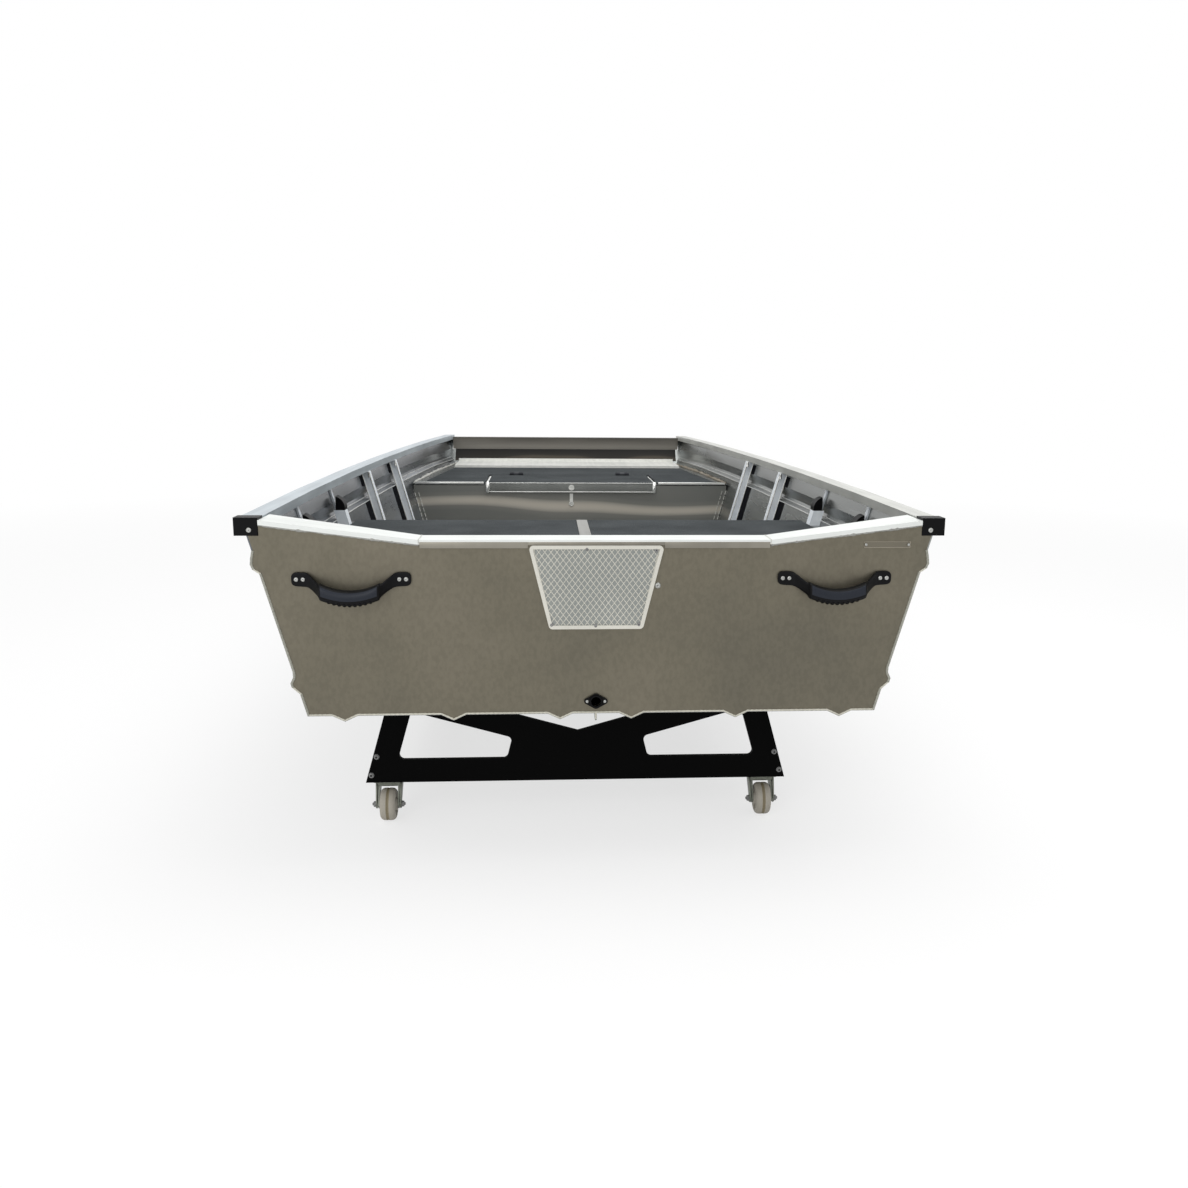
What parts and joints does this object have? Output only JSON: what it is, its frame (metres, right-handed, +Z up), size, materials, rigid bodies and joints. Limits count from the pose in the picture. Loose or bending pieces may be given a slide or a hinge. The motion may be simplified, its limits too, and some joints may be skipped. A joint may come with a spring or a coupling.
{
  "type": "jon boat on a castor dolly",
  "caption": "Square-bowed flat-bottomed aluminium boat with carpeted decks and a bow hatch, standing on a black steel dolly that rolls on swivel castors.",
  "frame": {"origin": "on the floor, below the middle of the whole part's bounding box", "axes": "+X starboard, +Y towards the bow, +Z up"},
  "size_m": [1.5362, 3.57, 0.7875],
  "materials": {
    "hull": "mill-finished sheet, satin",
    "transom": "mill-finished sheet, satin",
    "rail": "brushed bright extrusion",
    "carpet": "short-pile marine carpet",
    "black_plastic": "moulded, fine grain",
    "pad": "moulded, diamond grip",
    "handle_rubber": "moulded, satin",
    "fitting": "polished",
    "dolly_paint": "satin black paint",
    "castor_steel": "zinc plated",
    "wheel": "grey solid rubber"
  },
  "bodies": {
    "root": {"side_sheet_starboard": "hull", "side_sheet_port": "hull", "bottom_sheet": "hull", "transom_sheet": "transom", "transom_inner": "hull", "transom_cap": "rail", "bow_panel": "hull", "gunwale_starboard": "rail", "gunwale_port": "rail", "bow_rail": "rail", "corner_cap_starboard": "black_plastic", "corner_cap_port": "black_plastic", "keel_strip": "hull", "side_ribs": "rail", "floor_ribs": "hull", "aft_posts": "rail", "post_caps": "black_plastic", "aft_deck": "hull", "aft_bulkhead": "hull", "aft_carpet_starboard": "carpet", "aft_carpet_port": "carpet", "deck_strap": "rail", "fore_deck": "hull", "fore_bulkhead": "hull", "fore_carpet": "carpet", "nose_plate": "rail", "rub_plate": "pad", "handle_starboard": "handle_rubber", "handle_port": "handle_rubber", "drain_flange": "black_plastic", "id_plate": "fitting", "hatch_hinges": "black_plastic", "hatch_hasp": "fitting", "dolly_plate_aft": "dolly_paint", "dolly_plate_fore": "dolly_paint", "dolly_rails": "dolly_paint", "castor_plates": "castor_steel"},
    "lid": {"hatch_lid": "rail", "lid_carpet": "carpet", "hatch_latch": "fitting"},
    "castor_aft_port": {"fork_aft_port": "castor_steel"},
    "roller_aft_port": {"wheel_aft_port": "wheel"},
    "castor_aft_starboard": {"fork_aft_starboard": "castor_steel"},
    "roller_aft_starboard": {"wheel_aft_starboard": "wheel"},
    "castor_fore_port": {"fork_fore_port": "castor_steel"},
    "roller_fore_port": {"wheel_fore_port": "wheel"},
    "castor_fore_starboard": {"fork_fore_starboard": "castor_steel"},
    "roller_fore_starboard": {"wheel_fore_starboard": "wheel"}
  },
  "joints": [
    {"name": "hatch_hinge", "type": "hinge", "parent": "root", "child": "lid", "pos_m": [0, 0.9565, 0.653], "axis": [-1, 0, 0], "range_deg": [0, 100]},
    {"name": "swivel_aft_port", "type": "hinge", "parent": "root", "child": "castor_aft_port", "pos_m": [-0.5, -1.43871, 0.09], "axis": [0, 0, 1], "continuous": true},
    {"name": "roll_aft_port", "type": "hinge", "parent": "castor_aft_port", "child": "roller_aft_port", "pos_m": [-0.5, -1.46671, 0.04], "axis": [1, 0, 0], "continuous": true},
    {"name": "swivel_aft_starboard", "type": "hinge", "parent": "root", "child": "castor_aft_starboard", "pos_m": [0.434, -1.43871, 0.09], "axis": [0, 0, 1], "continuous": true},
    {"name": "roll_aft_starboard", "type": "hinge", "parent": "castor_aft_starboard", "child": "roller_aft_starboard", "pos_m": [0.434, -1.46671, 0.04], "axis": [1, 0, 0], "continuous": true},
    {"name": "swivel_fore_port", "type": "hinge", "parent": "root", "child": "castor_fore_port", "pos_m": [-0.5, 0.54007, 0.09], "axis": [0, 0, 1], "continuous": true},
    {"name": "roll_fore_port", "type": "hinge", "parent": "castor_fore_port", "child": "roller_fore_port", "pos_m": [-0.5, 0.51207, 0.04], "axis": [1, 0, 0], "continuous": true},
    {"name": "swivel_fore_starboard", "type": "hinge", "parent": "root", "child": "castor_fore_starboard", "pos_m": [0.434, 0.54007, 0.09], "axis": [0, 0, 1], "continuous": true},
    {"name": "roll_fore_starboard", "type": "hinge", "parent": "castor_fore_starboard", "child": "roller_fore_starboard", "pos_m": [0.434, 0.51207, 0.04], "axis": [1, 0, 0], "continuous": true}
  ]
}
